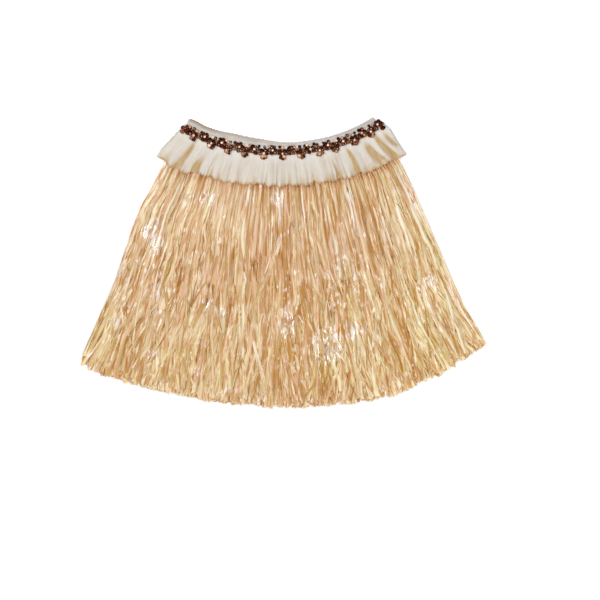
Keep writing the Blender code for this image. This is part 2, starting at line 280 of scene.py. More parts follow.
def raffia_finish(name, tint):
    """Straw-coloured film strips. Orange-brown streaks and short marks run along them, painted shade
    of the gaps between strips. Glinting and glossy stretches have a painted pale sheen, and the film
    yellows towards the hem. It has painted shadow under the flounce's foot, painted highlights along
    its edges and its middle fold, and painted light at its tips, most at some. Crumpled film has
    painted white glints. Deeper layers take a stronger tint, painted shade for the light that reaches
    them through the film above."""
    f = Finish(name)
    strip = Strip(f)
    fibre = strip.grain(20.0, 800.0, detail=3.0)
    streak = strip.grain(24.0, 330.0, 9.0)
    crease = strip.grain(110.0, 330.0, detail=3.0, rough=0.6)
    sheen = strip.grain(16.0, 260.0, 80.0).past(0.56, 6.0)
    dash_shade_mask = strip.grain(26.0, 150.0, 30.0).past(0.57, 14.0)
    cell = f.cells(strip.spot(65.0, 180.0))
    glinting = (f.noise(strip.place, 16.0, 3.0) + strip.crumpled * 0.38).past(0.62, 7.0)

    # painted shade: orange-brown streaks and short marks along the strips stand for the shaded gaps
    # between them
    gap = streak.past(0.535, 12.0) * 0.9 + fibre.past(0.45, 1.0) * 0.4
    with_gap_shade = f.mix(gap.clamped(), straw_colour(f, strip), colour(0.62, 0.285, 0.038))
    with_dash_shade = f.mix(dash_shade_mask * 0.85, with_gap_shade, colour(0.56, 0.235, 0.013))
    # painted highlight: a pale sheen on glinting and glossy stretches of film
    pale = (glinting * streak.past(0.75, -1.0) + sheen * 0.42).clamped()
    with_painted_sheen = f.mix(pale, with_dash_shade, colour(0.885, 0.835, 0.80))
    aged = f.mix(strip.along.past(0.14, 4.0), with_painted_sheen, colour(0.985, 0.94, 0.69), "MULTIPLY")
    # painted shadow under the flounce's foot, broken up by the creases
    shade = (strip.flounce_painted_shadow * (0.25 + crease.past(0.42, 7.0))).clamped()
    shaded = f.mix(shade, aged, colour(0.84, 0.54, 0.28), "MULTIPLY")
    # painted highlights along the film's two edges and its middle fold, and painted light at its tips,
    # strongest on the palest strips
    off_middle = strip.side * strip.side
    painted_edge_and_fold_light = off_middle.past(0.72, 3.0) * 0.2 + off_middle.past(0.06, -1.0) * 2.0
    painted_tip_light = strip.tip * (0.12 + strip.shade.past(0.88, 20.0) * 0.8)
    edged = f.mix((painted_edge_and_fold_light + painted_tip_light).clamped(), shaded, colour(0.97, 0.92, 0.80))
    # painted shade: deeper layers take a stronger tint, and their tips take less of it
    tinted = f.mix(1 - strip.tip * 0.6, edged, colour(*tint), "MULTIPLY")
    # painted white glints on crumpled film
    film = f.mix(painted_glints(f, strip, streak, glinting, cell), tinted, colour(0.98, 0.95, 0.92))

    normal = creased_normal(f, crease, fibre, glinting, cell)
    roughness = 0.29 + fibre * 0.2 - glinting * 0.25
    gloss = f.surface(film, roughness, normal, Specular_IOR_Level=1.0)
    green = f.part(film, 1)  # which goes with how pale the film is
    amber, straw, cream = (0.55, 0.16, 0.008), (0.70, 0.42, 0.105), (0.98, 0.79, 0.51)
    shares = green.past(0.20, 3.2), green.past(0.51, 2.3)
    through = f.lit_through(normal, (amber, straw, cream), shares)
    return f.done(f.mixed(0.4, gloss, through))


def woven_height(f, where, pitch):
    """Plain weave: two crossing sets of rounded threads, where one passes over the other."""
    turn = 2 * math.pi / pitch
    warp = f.node("Math", {"operation": "SINE"}, {0: f.part(where, 0) * turn})
    weft = f.node("Math", {"operation": "SINE"}, {0: f.part(where, 1) * turn})
    return warp * weft


def flounce_finish():
    """Thin cream cloth, uneven and slubbed, with a painted highlight that makes it whitest where it
    puffs out below its gathers, and with the colour of straw where the raffia shows through. Attribute
    cloth holds (metres along, metres down, how much straw shows)."""
    f = Finish("thin_cream_cloth")
    where = f.fact("cloth")
    along, down, shows = (f.part(where, i) for i in range(3))
    uneven = f.noise(f.vector(along * 60.0, down * 16.0, 0.0), 1.0, 3.0)
    slub = f.noise(f.vector(along * 900.0, down * 60.0, 3.0), 1.0)
    edge = f.noise(f.vector(along * 150.0, down * 60.0, 7.0), 1.0)
    cream = f.ramp(
        uneven,
        (
            (0.25, (0.70, 0.62, 0.52)),
            (0.50, (0.78, 0.73, 0.66)),
            (0.80, (0.825, 0.795, 0.755)),
        ),
    )
    # painted highlight: the cloth is whitest where it puffs out below the gathers
    with_painted_highlight = f.mix(down.past(0.030, -60.0) * 0.8, cream, colour(0.88, 0.85, 0.82))
    straw = f.ramp(uneven, ((0.3, (0.50, 0.305, 0.10)), (0.7, (0.64, 0.455, 0.215))))
    veiled = f.mix((shows * (0.35 + edge * 1.1)).clamped(), with_painted_highlight, straw)
    cloth = f.mix(slub.past(0.4, 1.0) * 0.2, veiled, colour(0.70, 0.61, 0.50))
    height = woven_height(f, where, 0.0006) * 0.4 + slub * 0.3 + uneven * 1.6
    normal = f.bump(height, 0.5, 0.0004)
    face = f.surface(cloth, 0.72 + slub * 0.2, normal, Sheen_Weight=0.2, Sheen_Roughness=0.4)
    tan, white = (0.57, 0.38, 0.16), (0.805, 0.76, 0.69)
    through = f.lit_through(normal, (tan, white), [f.part(cloth, 1).past(0.38, 2.63)])
    return f.done(f.mixed(0.36, face, through))


def band_finish():
    """Cream casing with elastic in it, shaded between its gathers, and taupe along its turned
    edge. Attribute cloth holds (metres along, metres down, how near the turned edge)."""
    f = Finish("gathered_band_cloth")
    where = f.fact("cloth")
    along, down, edge = (f.part(where, i) for i in range(3))
    gather = f.noise(f.vector(along * 420.0, down * 50.0, 0.0), 1.0)
    worn = f.noise(f.vector(along * 40.0, down * 90.0, 5.0), 1.0, 3.0)
    cream = f.ramp(
        worn,
        (
            (0.25, (0.395, 0.363, 0.327)),
            (0.55, (0.50, 0.474, 0.442)),
            (0.85, (0.57, 0.552, 0.53)),
        ),
    )
    taupe = f.mix((edge * (0.5 + worn)).clamped(), cream, colour(0.24, 0.15, 0.085))
    shaded = f.mix(gather.past(0.45, 1.0) * 0.8, taupe, colour(0.45, 0.38, 0.30))
    normal = f.bump(gather * 1.6 + woven_height(f, where, 0.0007) * 0.4, 0.6, 0.0004)
    return f.done(f.surface(shaded, 0.75 + gather * 0.15, normal, Sheen_Weight=0.2))


def bead_finish():
    """Clouded brown glass beads with painted shade at their holes, and a painted amber glow on the
    side that faces the hem, for light that enters a bead from above. Attribute bead holds (shade,
    distance from the hole's end, how far a place faces the hem) and polish holds (gloss, 0, 0), less
    on a bead's sides."""
    f = Finish("glossy_brown_beads")
    shade, hole, foot = (f.fact("bead", i) for i in range(3))
    cloud = f.noise(f.place(), 420.0, 3.0)
    brown = f.ramp(
        (shade + (cloud - 0.5) * 0.2).clamped(),
        (
            (0.0, (0.018, 0.0022, 0.0008)),
            (0.4, (0.048, 0.0075, 0.0032)),
            (0.62, (0.27, 0.095, 0.044)),
            (0.80, (0.50, 0.26, 0.13)),
            (1.0, (0.70, 0.52, 0.42)),
        ),
    )
    # painted amber glow on the side that faces the hem, for light that enters the bead from above
    glowing = f.mix(foot.past(0.35, 1.8) * 0.45, brown, colour(0.42, 0.17, 0.045))
    # painted shade at the ends of each bead's hole
    glass = f.mix(hole.past(0.2, -5.0) * 0.85, glowing, colour(0.006, 0.001, 0.0005))
    normal = f.bump(cloud, 0.08, 0.0004)
    matt = f.surface(glass, 0.6, normal, Specular_IOR_Level=0.0)
    shine = {"Specular_IOR_Level": 1.0, "Specular_Tint": colour(1.0, 0.84, 0.74)}
    polished = f.surface(glass, 0.18 + cloud * 0.1, normal, **shine)
    return f.done(f.mixed(f.fact("polish", 0), matt, polished))


def cord_finish(name, dark, light):
    """Twisted thread or twill tape: slanting ridges, with fuzz. Attribute cloth holds (metres
    along, metres round, 0)."""
    f = Finish(name)
    along, round_it = f.fact("cloth", 0), f.fact("cloth", 1)
    ply = f.node("Math", {"operation": "SINE"}, {0: along * 3400.0 + round_it * 2600.0})
    fuzz = f.noise(f.vector(along * 700.0, round_it * 900.0, 0.0), 1.0, 3.0)
    thread = f.mix((ply * 0.35 + fuzz * 0.7).clamped(), colour(*dark), colour(*light))
    return f.done(f.surface(thread, 0.6 + fuzz * 0.3, f.bump(ply * 0.6 + fuzz, 0.6, 0.0003)))


def floor_finish():
    """A matt floor that is almost white, faintly mottled."""
    f = Finish("pale_floor")
    mottle = f.noise(f.place(), 1.2)
    pale = f.ramp(mottle, ((0.0, grey(0.93)), (1.0, grey(0.95))))
    values = {"Base Color": pale, "Roughness": 0.9, "Specular IOR Level": 0.1}
    return f.done(f.node("BsdfPrincipled", {}, values))


# ---------------------------------------------------------------- meshes


def at(angle, radius, height):
    """Points of the fan: angle from the middle line, distance from the fan's point, height."""
    angle, radius, height = np.broadcast_arrays(angle, radius, height)
    x = FAN_POINT[0] + radius * np.sin(angle)
    y = FAN_POINT[1] - radius * np.cos(angle)
    return np.stack([x, y, height], axis=-1)


def grid_quads(count, rows, columns, round_rows=False):
    """Quads of count separate grids of rows by columns; round_rows joins each row's two ends."""
    i = np.arange(rows - 1)[:, None] * columns
    j = np.arange(columns if round_rows else columns - 1)[None, :]
    k = (j + 1) % columns
    one = np.stack([i + j, i + columns + j, i + columns + k, i + k], axis=-1).reshape(-1, 4)
    start = np.arange(count)[:, None, None] * rows * columns
    return (start + one).reshape(-1, 4)


def add_object(name, data):
    made = bpy.data.objects.new(name, data)
    bpy.context.collection.objects.link(made)
    return made


def new_piece(name, points, quads, material, facts=None, chart=None):
    """A smooth-shaded mesh piece on the skirt's body, from arrays of points and quads. facts holds
    its attributes, three numbers to a point, and chart its own map for the bake."""
    mesh = bpy.data.meshes.new(name)
    mesh.vertices.add(len(points))
    mesh.vertices.foreach_set("co", np.asarray(points, np.float32).ravel())
    mesh.loops.add(quads.size)
    mesh.loops.foreach_set("vertex_index", quads.astype(np.int32).ravel())
    mesh.polygons.add(len(quads))
    mesh.polygons.foreach_set("loop_start", np.arange(0, quads.size, 4, dtype=np.int32))
    mesh.update(calc_edges=True)
    mesh.validate()
    mesh.shade_smooth()
    for key, values in (facts or {}).items():
        layer = mesh.attributes.new(key, "FLOAT_VECTOR", "POINT")
        layer.data.foreach_set("vector", np.asarray(values, np.float32).ravel())
    if chart is not None:
        layer = mesh.uv_layers.new(name="OFBake")
        layer.uv.foreach_set("vector", chart[quads.ravel()].astype(np.float32).ravel())
    mesh.materials.append(material)
    piece = add_object(name, mesh)
    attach(piece, "root")
    return piece


def beside(*values):
    """These values, or arrays of them, side by side for every point of a mesh."""
    return np.stack(np.broadcast_arrays(*values), axis=-1).reshape(-1, len(values))


def unit(vectors):
    return vectors / np.linalg.norm(vectors, axis=-1, keepdims=True)


def directions(line):
    """At each point of a line: along it, level across it, and up from it."""
    along = unit(np.gradient(line, axis=-2))
    level = unit(np.cross(along, (0.0, 0.0, 1.0)))
    return along, level, np.cross(level, along)


def smooth_step(value, low, high):
    """0 below low, 1 above high and a smooth S between them."""
    t = np.clip((value - low) / (high - low), 0, 1)
    return t * t * (3 - 2 * t)


def waist_rise(share):
    """How much nearer the fan's point the waist's curve is at this share of its half angle."""
    return WAIST_RISE * np.abs(share) ** 3


# ---------------------------------------------------------------- raffia


def spread(radius, share):
    """The angle from the middle line to the fringe's left or right side at this distance."""
    stations = np.array(SPREAD_RADIUS_MM) * MM
    left = np.interp(radius, stations, np.radians(LEFT_HALF_ANGLE_DEG))
    right = np.interp(radius, stations, np.radians(RIGHT_HALF_ANGLE_DEG))
    return np.where(share < 0, left, right)


LOCKS = 46  # in each of the fringe's layers


def gather_into_locks(share, rng):
    """For each strip, the number of its lock, and how far it is from the middle of its lock, as a
    share of the half angle."""
    middles = np.linspace(-1, 1, LOCKS) + rng.uniform(-0.6, 0.6, LOCKS) / LOCKS
    nearest = np.abs(share[:, None] - middles[None, :]).argmin(1)
    return nearest, middles[nearest] - share


def in_stretches(v, values, rng):
    """Each strip has its own value on each of its stretches, whose ends are at random places."""
    count, stretches = values.shape
    ends = rng.uniform(0.04, 1.0, (count, 1, stretches - 1))
    number = (v[..., None] > ends).sum(-1)
    return np.take_along_axis(values, number, axis=1)


def random_waves(v, kinds, one, rng):
    """For each strip, a sum of sine waves along it. kinds holds (waves in its length, swing in
    metres, the power of v that the swing grows with), and each strip has its own pace, start and
    swing for each kind."""
    total = 0.0
    for cycles, swing, power in kinds:
        turn = 2 * math.pi * (v * cycles * rng.uniform(0.6, 1.5, one) + rng.uniform(0, 1, one))
        total = total + swing * rng.normal(0, 1, one) * v**power * np.sin(turn)
    return total


# The places where the film is most crumpled, where its painted glints gather
CRUMPLED_ANGLE_DEG = (-20.2, -21.4, -19.0, -13.0, -0.8, -10.0, -20.7, 5.8, 9.1, 0.6, 20.0, 12.0, -7.9)
CRUMPLED_RADIUS_MM = (618, 640, 652, 554, 540, 733, 803, 787, 776, 759, 730, 550, 744)
CRUMPLED_SIZE_MM = (10, 11, 18, 12, 14, 14, 11, 30, 16, 19, 14, 10, 12)


def how_crumpled(angle, radius):
    """The sum, over the places above, of exp(-(distance / size) squared), cut off at 1."""
    total = 0.0
    for middle, out, size in zip(np.radians(CRUMPLED_ANGLE_DEG), CRUMPLED_RADIUS_MM, CRUMPLED_SIZE_MM):
        away = ((angle - middle) * radius) ** 2 + (radius - out * MM) ** 2
        total = total + np.exp(-away / (size * MM) ** 2)
    return np.clip(total, 0, 1)


def flounce_painted_shadow_at(angle, radius):
    """Painted shadow of the flounce on the strips: 1 as far as the flounce's foot, and a smooth fall
    to 0 over the next few millimetres.
    """
    share = angle / WIDEST_HALF_ANGLE
    foot = (FLOUNCE["radius_mm"][-1] - FLOUNCE["rise_mm"][-1] * np.abs(share) ** 3) * MM
    foot = foot + np.interp(share, FOOT_SHARE, FOOT_LONGER_MM) * MM
    return 1 - smooth_step(radius, foot + 0.001, foot + 0.011)


def hem_distance(share):
    """How far the hem is from the fan's point: HEM_RADIUS_MM at its angles, and a slow wave."""
    angle = share * spread(SPREAD_RADIUS_MM[-1] * MM, share)
    hem = np.interp(angle, np.radians(HEM_ANGLE_DEG), np.array(HEM_RADIUS_MM) * MM)
    return hem + 0.0028 * np.sin(61 * share + 5 * np.sin(23 * share))


def wander(v, share, pull, half_width, crossing, rng):
    """How many metres a strip lies aside of its own share of the fan. It is pulled towards the
    middle of its lock, wanders in slow waves, and its end sways. A few strips, a share of
    crossing, run right over their neighbours."""
    one = (len(share), 1)
    pick = rng.uniform
    aside = pull[:, None] * pick(0.1, 0.55, one) * half_width * smooth_step(v, 0.05, 0.75)
    bends = ((0.7, 0.0034, 1.0), (1.8, 0.0020, 1.2), (4.6, 0.0009, 1.2))
    aside = aside + random_waves(v, bends, one, rng)
    stray = (pick(0, 1, one) < crossing) * pick(-1, 1, one) * 0.040
    aside = aside + stray * smooth_step(v, pick(0.0, 0.5, one), 1.15)
    return aside + rng.normal(0, 0.010, one) * smooth_step(v, 0.70, 1.1)


def film_height(v, angle, radius, layer, heights_mm, top, one, rng):
    """A strip's height, at its layer between the fringe's underside and its top. Beyond the
    flounce it ripples, and a slow wave over the whole fringe raises and lowers its top."""
    stations = np.array(GRASS_RADIUS_MM) * MM
    low, high = (np.interp(radius, stations, np.array(heights) * MM) for heights in heights_mm)
    height = low + (high - low) * layer[:, None]
    beyond = smooth_step(radius, 0.53, 0.60)
    wave = np.sin(16 * radius + 11 * angle + 2 * np.sin(5 * angle))
    height = height + 0.0010 * beyond * wave * top
    ripples = ((3.0, 0.0007, 0.0), (8.0, 0.0006, 0.0), (15.0, 0.0002, 0.0))
    return height + beyond * random_waves(v, ripples, one, rng)


def film_roll(v, restless, one, rng):
    """How far a strip is rolled about its own line: by a slow wave, by a random angle on each
    stretch and by another one near the tape. A quarter of the strips turn over once."""
    pick = rng.uniform
    turn = 2 * math.pi * (v * pick(0.5, 2.4, one) + pick(0, 1, one))
    roll = rng.normal(0, 0.2, one) + pick(0.1, 0.5, one) * np.sin(turn)
    over = pick(0.15, 0.9, one)
    roll = roll + math.pi * (pick(0, 1, one) < 0.25) * smooth_step(v, over - 0.03, over + 0.03)
    roll = roll + in_stretches(v, rng.normal(0, 0.26, (one[0], 9)), rng) * restless**0.5
    return roll + rng.normal(0, 0.55, one) * (1 - smooth_step(v, 0.1, 0.45))


def film_points(v, line, roll, width, rng):
    """Three points across the film at each step along its line: its two edges, half a width to
    each side at the angle roll, and its middle, which a fold lifts or sinks by a share of that.
    The end is cut on a slant."""
    along, level, upward = directions(line)
    cos, sin = np.cos(roll)[..., None], np.sin(roll)[..., None]
    half = width[..., None] / 2
    fold = half * (rng.uniform(-0.45, 0.6, (len(line), 1)) * smooth_step(v, 0.0, 0.2))[..., None]
    cut = np.zeros((*roll.shape, 1))
    cut[:, -1, 0] = rng.uniform(-0.9, 0.9, len(line))
    side = (level * cos + upward * sin) * half + along * half * cut
    middle = line + (upward * cos - level * sin) * fold
    points = np.stack([line - side, middle, line + side], axis=2)
    points[..., 2] = np.maximum(points[..., 2], LOWEST)
    return points


def strip_shades(share, lock, rng):
    """How pale each strip is, from 0 to 1: partly its own and partly its lock's. Strips on the
    right differ less."""
    shade = 0.72 * rng.uniform(-0.5, 0.5, len(share)) + 0.56 * rng.uniform(-0.5, 0.5, LOCKS)[lock]
    return np.clip(0.50 + shade * (1 - 0.45 * np.clip(share, 0, 1)), 0, 1)


def stretch_tones(v, share, lock, apart, rng):
    """How pale each stretch of a strip is, before its shade is added. One in fourteen is orange. Film
    is painted paler near the skirt's sides, as light where fewer strips lie on each other, and it is
    paler to the right. It is paler in the middle of a lock and darker towards its edges, painted shade
    in the gaps between locks, and darker halfway down the skirt's middle."""
    share = share[:, None]
    own = rng.uniform(0, 1, (len(share), 12))
    own = np.where(own < 0.07, -1.8, own)
    # painted light: paler near the sides, where fewer strips lie on each other; also paler to the
    # right
    tone = in_stretches(v, own, rng) + 1.1 * (share**2 - 0.3) + 0.35 * share
    halfway = smooth_step(v, 0.2, 0.45) * (1 - smooth_step(v, 0.55, 0.8))
    tone = tone + 0.1 * smooth_step(v, 0.55, 0.8) - 0.9 * (1 - share**2) * halfway
    tone = tone + rng.normal(0, 0.26, LOCKS)[lock][:, None]
    # painted shade towards the edges of each lock, where the gaps between locks lie
    return tone + 1.8 * (0.33 - np.minimum(apart, 1)[:, None] ** 2)


def raffia_strips(name, count, steps, seed, heights_mm, fill, crossing, material):
    """Flat film strips, each three points wide, from the tape to the hem.

    The middle line of a strip keeps its share of the fan's angle as it runs outwards, apart from
    what wander adds. It also runs at its own small slant on each of its stretches, so that it
    zigzags, more towards the hem. fill = (lowest, highest) share of the fringe's thickness.
    """
    rng = np.random.default_rng(seed)
    pick = rng.uniform
    v = np.linspace(0, 1, steps + 1)[None, :]  # from the tape to the hem
    one = (count, 1)  # one number for each strip

    share = (np.arange(count) + pick(0, 1, count)) / count * 2 - 1
    rng.shuffle(share)
    share = share * 0.992
    layer = pick(*fill, count)
    hem, start = hem_distance(share), WAIST_RADIUS + 0.014 - waist_rise(share)
    short = 0.024 * pick(0, 1, count) ** 1.6 + 0.10 * pick(0, 1, count) * (pick(0, 1, count) < 0.12)
    radius = start[:, None] + (hem - short - start)[:, None] * v

    reach = spread(radius, share[:, None])
    lock, pull = gather_into_locks(share, rng)
    aside = wander(v, share, pull, reach * radius, crossing, rng)
    narrow = pick(0, 1, one) < 0.35
    restless = pick(0.25, 1.5, one) * (0.2 + 0.8 * smooth_step(v, 0.15, 0.75))
    restless = restless * (1 + 0.9 * narrow * smooth_step(v, 0.5, 0.9))
    slant = in_stretches(v, rng.normal(0, 0.17, (count, 11)), rng) * restless
    zigzag = np.cumsum(slant, axis=1) * (hem - start)[:, None] / steps
    aside = aside + zigzag - 0.8 * v * zigzag[:, -1:]

    width = np.where(narrow, pick(1.8, 3.2, one), pick(4.5, 8.2, one)) * MM
    width = width * (0.55 + 0.45 * smooth_step(v, 0.05, 0.4))
    inset = pick(-0.001, 0.003, one) + 0.004 * (1 - layer[:, None])
    limit = reach - (width / 2 + inset) / radius
    angle = np.clip(share[:, None] * reach + aside / radius, -limit, limit)
    height = film_height(v, angle, radius, layer, heights_mm, fill[1] > 0.9, one, rng)
    line = at(angle, radius, height)
    points = film_points(v, line, film_roll(v, restless, one, rng), width, rng)

    length = np.linalg.norm(np.diff(line, axis=1), axis=-1).cumsum(1)
    length = np.concatenate([np.zeros(one), length], axis=1)
    tip = smooth_step(length, length[:, -1:] - 0.012, length[:, -1:])
    shade = strip_shades(share, lock, rng)
    tone = stretch_tones(v, share, lock, np.abs(pull) * LOCKS, rng)
    crumpled, flounce_painted_shadow = how_crumpled(angle, radius), flounce_painted_shadow_at(angle, radius)
    sides = np.array((-0.5, 0.0, 0.5))  # where the three points across are
    column = (np.arange(count)[:, None, None] + 0.5 + 0.8 * sides) / count
    facts = {
        "strip": beside(shade[:, None, None], length[..., None], width[..., None] * sides),
        "film": beside(2 * sides, tone[..., None], tip[..., None]),
        "wear": beside(crumpled[..., None], flounce_painted_shadow[..., None], 0 * sides),
    }
    chart = beside(column, (0.002 + 0.996 * length / length[:, -1:])[..., None])
    quads = grid_quads(count, steps + 1, len(sides))
    return new_piece(name, points.reshape(-1, 3), quads, material, facts, chart)


# ---------------------------------------------------------------- cloth tubes


FOLD_POINTS = 12  # round each fold


def round_the_tube(front, back, half_angle, fold, right_more=0.0):
    """One row round a flattened tube: the front from left to right, the right fold as half an
    ellipse, the back from right to left and the left fold. front and back hold shares of the
    half angle, distances and heights. The right end reaches right_more further."""
    share_f, radius_f, height_f = front
    share_b, radius_b, height_b = back
    turn = np.linspace(0, math.pi, FOLD_POINTS + 2)[1:-1]
    blend = (1 - np.cos(turn)) / 2

    def reached(share):
        return share * half_angle + right_more * np.clip(share, 0, 1) ** 3

    parts = [at(reached(share_f), radius_f, height_f)]
    for side, f, b in ((1, -1, -1), (-1, 0, 0)):
        middle, reach = (height_f[f] + height_b[b]) / 2, (height_f[f] - height_b[b]) / 2
        radius = radius_f[f] * (1 - blend) + radius_b[b] * blend
        angle = reached(np.array(float(side))) + side * fold * np.sin(turn) / radius
        bend = at(angle, radius, middle + reach * np.cos(turn))
        back_row = at(reached(share_b), radius_b, height_b)[::-1]
        parts += [bend, back_row] if side > 0 else [bend[::-1]]
    return np.concatenate(parts)


def tube_piece(name, points, facts, material, thickness):
    """A tube of cloth through rows of points, given its thickness inwards."""
    quads = grid_quads(1, *points.shape[:2], round_rows=True)
    piece = new_piece(name, points.reshape(-1, 3), quads, material, {"cloth": facts})
    solid = piece.modifiers.new("cloth_thickness", "SOLIDIFY")
    solid.thickness, solid.offset = thickness, -1.0
    return piece


def cloth_facts(points, third):
    """Metres along each row and metres down each column, with a third value beside them."""
    rows, columns = points.shape[:2]
    along = np.linalg.norm(np.diff(points, axis=1), axis=-1).cumsum(1)
    along = np.concatenate([np.zeros((rows, 1)), along], axis=1).mean(0)
    down = np.linalg.norm(np.diff(points, axis=0), axis=-1).cumsum(0)
    down = np.concatenate([np.zeros((1, columns)), down], axis=0)
    return beside(along, down, third)


PLEATS = 22
BACK_WAVES = 11
# From the flounce's head to its foot
FLOUNCE = {
    "radius_mm": (453, 473, 487, 503, 520),
    "rise_mm": (10, 8, 7, 6, 6),
    "half_angle_deg": (21.2, 22.35, 22.95, 23.75, 24.0),
    "right_more_deg": (0.9, 0.9, 0.4, -0.1, 0.0),
    "outside_front_mm": (15.7, 16.2, 16.9, 17.3, 17.6),
    "outside_back_mm": (2.2, 2.1, 0.4, 0.1, 0.1),
    "pleat_mm": (0.6, 1.2, 3.6, 5.6, 7.2),
    "fold_mm": (4.0, 4.5, 5.0, 5.0, 5.0),
}
# The foot hangs this much lower at these shares of its half angle
FOOT_SHARE = (-1.0, -0.85, -0.74, -0.68, -0.6, -0.5, -0.2, 0.0, 0.3, 0.6, 0.75, 0.85, 1.0)
FOOT_LONGER_MM = (0.0, 8.0, 7.0, 3.0, 2.5, 3.5, 0.0, 0.0, 2.0, 3.0, 3.5, 1.0, 0.0)
FLOUNCE_REACH = math.radians(23.5) * 0.497  # half its length at mid height
# Bands in which the straw shows: place as a share of the reach, top and foot as shares of the
# way down, and how far the band's foot leans to the right of its top
STRAW_SHOWS = {
    "place": (-0.96, -0.83, -0.69, -0.55, -0.36, -0.13, 0.07, 0.26, 0.45, 0.61, 0.785, 0.895, 0.98),
    "half_width_mm": (4.0, 5.0, 5.0, 2.4, 1.8, 1.4, 1.6, 1.8, 2.6, 5.0, 6.0, 5.6, 4.0),
    "top": (0.85, 0.25, 0.60, 0.7, 0.75, 0.7, 0.7, 0.65, 0.5, 0.3, 0.35, 0.25, 0.3),
    "foot": (1.4, 1.3, 1.3, 1.2, 1.2, 1.2, 1.2, 1.2, 1.2, 1.2, 1.0, 1.05, 0.8),
    "strength": (0.7, 1.1, 1.2, 0.5, 0.5, 0.4, 0.4, 0.5, 0.8, 1.4, 1.5, 1.5, 1.2),
    "lean_mm": (0.0, 0.0, 0.0, 0.0, 0.0, 0.0, 0.0, 0.0, 3.0, 7.0, 20.0, 16.0, 18.0),
}


def pleat_edges(count, uneven, rng):
    """The edges of pleats of uneven width, from -1 to 1."""
    widths = rng.uniform(1 - uneven, 1 + uneven, count)
    return np.concatenate([[0.0], np.cumsum(widths)]) / widths.sum() * 2 - 1


def in_pleats(share, edges):
    """For each share of the half angle, its pleat's number and its place across the pleat."""
    number = np.clip(np.searchsorted(edges, share, side="right") - 1, 0, len(edges) - 2)
    return number, (share - edges[number]) / np.diff(edges)[number]


def straw_showing(down, reach):
    """How much straw shows at each place of the flounce's front: a soft band for each column of
    STRAW_SHOWS, which leans, widens and waves a little on its way down."""
    shows = np.zeros((len(down), len(reach)))
    for place, half, top, foot, strength, lean in zip(*STRAW_SHOWS.values()):
        middle = place * FLOUNCE_REACH + 0.002 * np.sin(5 * down + 9 * place)[:, None]
        middle = middle + lean * MM * (down[:, None] - 0.5)
        wide = half * MM * (0.6 + 0.7 * down[:, None])
        band = np.exp(-np.abs((reach[None, :] - middle) / wide) ** 3)
        stretch = smooth_step(down, top - 0.2, top + 0.2) * (1 - smooth_step(down, foot - 0.2, foot))
        shows += strength * band * stretch[:, None]
    return np.clip(shows, 0, 1)


def straw_between_pleats(down, share, hump):
    """A little straw in the lows between the pleats, and a hem of it with longer streaks."""
    lows = 0.2 * np.clip(1 - hump * 2.2, 0, 1) * smooth_step(down, 0.3, 0.9)[:, None]
    streaks = np.clip(np.sin(66 * share + 4 * np.sin(23 * share)) + 0.2, 0, 1)
    streaks = 0.6 * streaks * smooth_step(down, 0.72, 1.0)[:, None]
    return lows + streaks + 0.7 * smooth_step(down, 0.93, 0.99)[:, None]


